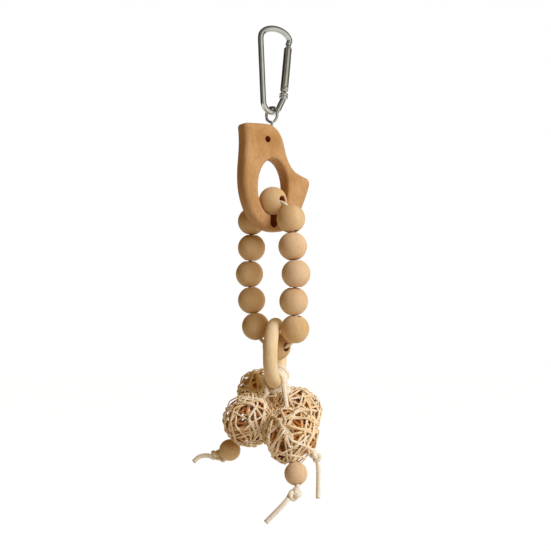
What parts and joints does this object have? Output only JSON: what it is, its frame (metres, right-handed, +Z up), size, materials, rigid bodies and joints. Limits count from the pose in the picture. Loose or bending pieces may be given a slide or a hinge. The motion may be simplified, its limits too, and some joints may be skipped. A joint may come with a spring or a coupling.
{
  "type": "hanging wooden bird toy",
  "caption": "Hanging chew toy for a parrot: snap hook, wooden bird cut-out, loop of wooden beads, wooden ring and a cluster of woven rattan balls with end beads on cotton cord.",
  "frame": {"origin": "inside of the top bend of the snap hook, where a cage bar bears", "axes": "+Z up along the hanging line, +X to the right and +Y away from the viewer of the pictured side"},
  "size_m": [0.0934, 0.1387, 0.3443],
  "materials": {
    "nickel": "bright nickel plate",
    "spring_steel": "plain drawn wire",
    "bird_wood": "sanded, bare",
    "bead_wood": "turned, bare",
    "ring_wood": "turned, bare",
    "rattan": "split rattan, bare",
    "cotton": "undyed twisted cotton"
  },
  "bodies": {
    "hook": {"hook_body": "nickel", "hinge_rivet": "nickel"},
    "gate": {"hook_gate": "nickel", "gate_spring": "spring_steel", "gate_plunger": "spring_steel"},
    "bird": {"screw_eye": "nickel", "wooden_bird": "bird_wood"},
    "loop": {"loop_cord": "cotton"},
    "loop_bead_01": {"loop_bead_01": "bead_wood"},
    "loop_bead_02": {"loop_bead_02": "bead_wood"},
    "loop_bead_03": {"loop_bead_03": "bead_wood"},
    "loop_bead_04": {"loop_bead_04": "bead_wood"},
    "loop_bead_05": {"loop_bead_05": "bead_wood"},
    "loop_bead_06": {"loop_bead_06": "bead_wood"},
    "loop_bead_07": {"loop_bead_07": "bead_wood"},
    "loop_bead_08": {"loop_bead_08": "bead_wood"},
    "loop_bead_09": {"loop_bead_09": "bead_wood"},
    "loop_bead_10": {"loop_bead_10": "bead_wood"},
    "loop_bead_11": {"loop_bead_11": "bead_wood"},
    "loop_bead_12": {"loop_bead_12": "bead_wood"},
    "ring": {"wooden_ring": "ring_wood", "hitch_front": "cotton", "hitch_rear": "cotton"},
    "hanger_left_front": {"cord_left_front": "cotton"},
    "ball_left_front": {"ball_left_front": "rattan"},
    "end_bead_left_front": {"end_bead_left_front": "bead_wood"},
    "hanger_right_front": {"cord_right_front": "cotton"},
    "ball_right_front": {"ball_right_front": "rattan"},
    "end_bead_right_front": {"end_bead_right_front": "bead_wood"},
    "hanger_left_rear": {"cord_left_rear": "cotton"},
    "ball_left_rear": {"ball_left_rear": "rattan"},
    "end_bead_left_rear": {"end_bead_left_rear": "bead_wood"},
    "hanger_right_rear": {"cord_right_rear": "cotton"},
    "ball_right_rear": {"ball_right_rear": "rattan"},
    "end_bead_right_rear": {"end_bead_right_rear": "bead_wood"}
  },
  "joints": [
    {"name": "gate_hinge", "type": "hinge", "parent": "hook", "child": "gate", "pos_m": [0.00639, 0.00411, -0.04], "axis": [0.5402, -0.8415, 0], "range_deg": [0, 26], "stiffness_Nm_per_rad": 0.15, "springref_deg": -22.92},
    {"name": "bird_swing", "type": "hinge", "parent": "hook", "child": "bird", "pos_m": [-0.00269, -0.00173, -0.05835], "axis": [0.8415, 0.5402, 0], "range_deg": [-60, 60]},
    {"name": "loop_swing", "type": "hinge", "parent": "bird", "child": "loop", "pos_m": [-0.00193, -0.00596, -0.12235], "axis": [0.5736, -0.8192, 0], "range_deg": [-40, 40]},
    {"name": "loop_bead_01_spin", "type": "hinge", "parent": "loop", "child": "loop_bead_01", "pos_m": [-0.00193, -0.00596, -0.12235], "axis": [0.7408, -0.6717, 0], "continuous": true},
    {"name": "loop_bead_02_spin", "type": "hinge", "parent": "loop", "child": "loop_bead_02", "pos_m": [0.01076, -0.01746, -0.13595], "axis": [0.1883, -0.1707, -0.9672], "continuous": true},
    {"name": "loop_bead_03_spin", "type": "hinge", "parent": "loop", "child": "loop_bead_03", "pos_m": [0.01195, -0.01854, -0.15519], "axis": [0.0888, -0.0805, -0.9928], "continuous": true},
    {"name": "loop_bead_04_spin", "type": "hinge", "parent": "loop", "child": "loop_bead_04", "pos_m": [0.01418, -0.02057, -0.17425], "axis": [0.0179, -0.0162, -0.9997], "continuous": true},
    {"name": "loop_bead_05_spin", "type": "hinge", "parent": "loop", "child": "loop_bead_05", "pos_m": [0.01264, -0.01916, -0.19344], "axis": [-0.0188, 0.017, -0.9997], "continuous": true},
    {"name": "loop_bead_06_spin", "type": "hinge", "parent": "loop", "child": "loop_bead_06", "pos_m": [0.01346, -0.01991, -0.2127], "axis": [-0.109, 0.0988, -0.9891], "continuous": true},
    {"name": "loop_bead_07_spin", "type": "hinge", "parent": "loop", "child": "loop_bead_07", "pos_m": [0.00081, -0.00844, -0.22579], "axis": [-0.7408, 0.6717, 0], "continuous": true},
    {"name": "loop_bead_08_spin", "type": "hinge", "parent": "loop", "child": "loop_bead_08", "pos_m": [-0.01442, 0.00537, -0.21247], "axis": [-0.2795, 0.2534, 0.9261], "continuous": true},
    {"name": "loop_bead_09_spin", "type": "hinge", "parent": "loop", "child": "loop_bead_09", "pos_m": [-0.01741, 0.00809, -0.1936], "axis": [-0.1207, 0.1094, 0.9866], "continuous": true},
    {"name": "loop_bead_10_spin", "type": "hinge", "parent": "loop", "child": "loop_bead_10", "pos_m": [-0.01907, 0.00959, -0.17443], "axis": [-0.0015, 0.0014, 1], "continuous": true},
    {"name": "loop_bead_11_spin", "type": "hinge", "parent": "loop", "child": "loop_bead_11", "pos_m": [-0.01747, 0.00814, -0.15525], "axis": [0.0408, -0.037, 0.9985], "continuous": true},
    {"name": "loop_bead_12_spin", "type": "hinge", "parent": "loop", "child": "loop_bead_12", "pos_m": [-0.0175, 0.00817, -0.13595], "axis": [0.1648, -0.1494, 0.9749], "continuous": true},
    {"name": "ring_swing", "type": "hinge", "parent": "loop", "child": "ring", "pos_m": [0.00081, -0.00844, -0.22579], "axis": [0.9848, -0.1736, 0], "range_deg": [-40, 40]},
    {"name": "hanger_left_front_swing", "type": "hinge", "parent": "ring", "child": "hanger_left_front", "pos_m": [-0.00752, -0.01672, -0.25967], "axis": [0.0995, 0.995, 0], "range_deg": [0, 35]},
    {"name": "ball_left_front_spin", "type": "hinge", "parent": "hanger_left_front", "child": "ball_left_front", "pos_m": [-0.01819, -0.01506, -0.27638], "axis": [-0.5359, 0.0835, -0.8401], "continuous": true},
    {"name": "end_bead_left_front_spin", "type": "hinge", "parent": "hanger_left_front", "child": "end_bead_left_front", "pos_m": [-0.03212, -0.01289, -0.29823], "axis": [-0.5359, 0.0835, -0.8401], "continuous": true},
    {"name": "hanger_right_front_swing", "type": "hinge", "parent": "ring", "child": "hanger_right_front", "pos_m": [0.00612, -0.02635, -0.25404], "axis": [-0.995, -0.0995, 0], "range_deg": [0, 35]},
    {"name": "ball_right_front_spin", "type": "hinge", "parent": "hanger_right_front", "child": "ball_right_front", "pos_m": [0.01002, -0.04263, -0.28148], "axis": [0.1212, -0.5064, -0.8537], "continuous": true},
    {"name": "end_bead_right_front_spin", "type": "hinge", "parent": "hanger_right_front", "child": "end_bead_right_front", "pos_m": [0.01317, -0.0558, -0.30368], "axis": [0.1212, -0.5064, -0.8537], "continuous": true},
    {"name": "hanger_left_rear_swing", "type": "hinge", "parent": "ring", "child": "hanger_left_rear", "pos_m": [-0.00615, 0.00985, -0.25128], "axis": [0.995, 0.0995, 0], "range_deg": [0, 25]},
    {"name": "ball_left_rear_spin", "type": "hinge", "parent": "hanger_left_rear", "child": "ball_left_rear", "pos_m": [-0.01064, 0.0351, -0.26521], "axis": [-0.154, 0.8652, -0.4772], "continuous": true},
    {"name": "end_bead_left_rear_spin", "type": "hinge", "parent": "hanger_left_rear", "child": "end_bead_left_rear", "pos_m": [-0.01465, 0.0576, -0.27761], "axis": [-0.154, 0.8652, -0.4772], "continuous": true},
    {"name": "hanger_right_rear_swing", "type": "hinge", "parent": "ring", "child": "hanger_right_rear", "pos_m": [0.0096, 0.00093, -0.2578], "axis": [0.2873, -0.9578, 0], "range_deg": [0, 35]},
    {"name": "ball_right_rear_spin", "type": "hinge", "parent": "hanger_right_rear", "child": "ball_right_rear", "pos_m": [0.01503, 0.00674, -0.2754], "axis": [0.2813, 0.3012, -0.9111], "continuous": true},
    {"name": "end_bead_right_rear_spin", "type": "hinge", "parent": "hanger_right_rear", "child": "end_bead_right_rear", "pos_m": [0.02235, 0.01457, -0.29909], "axis": [0.2813, 0.3012, -0.9111], "continuous": true}
  ]
}
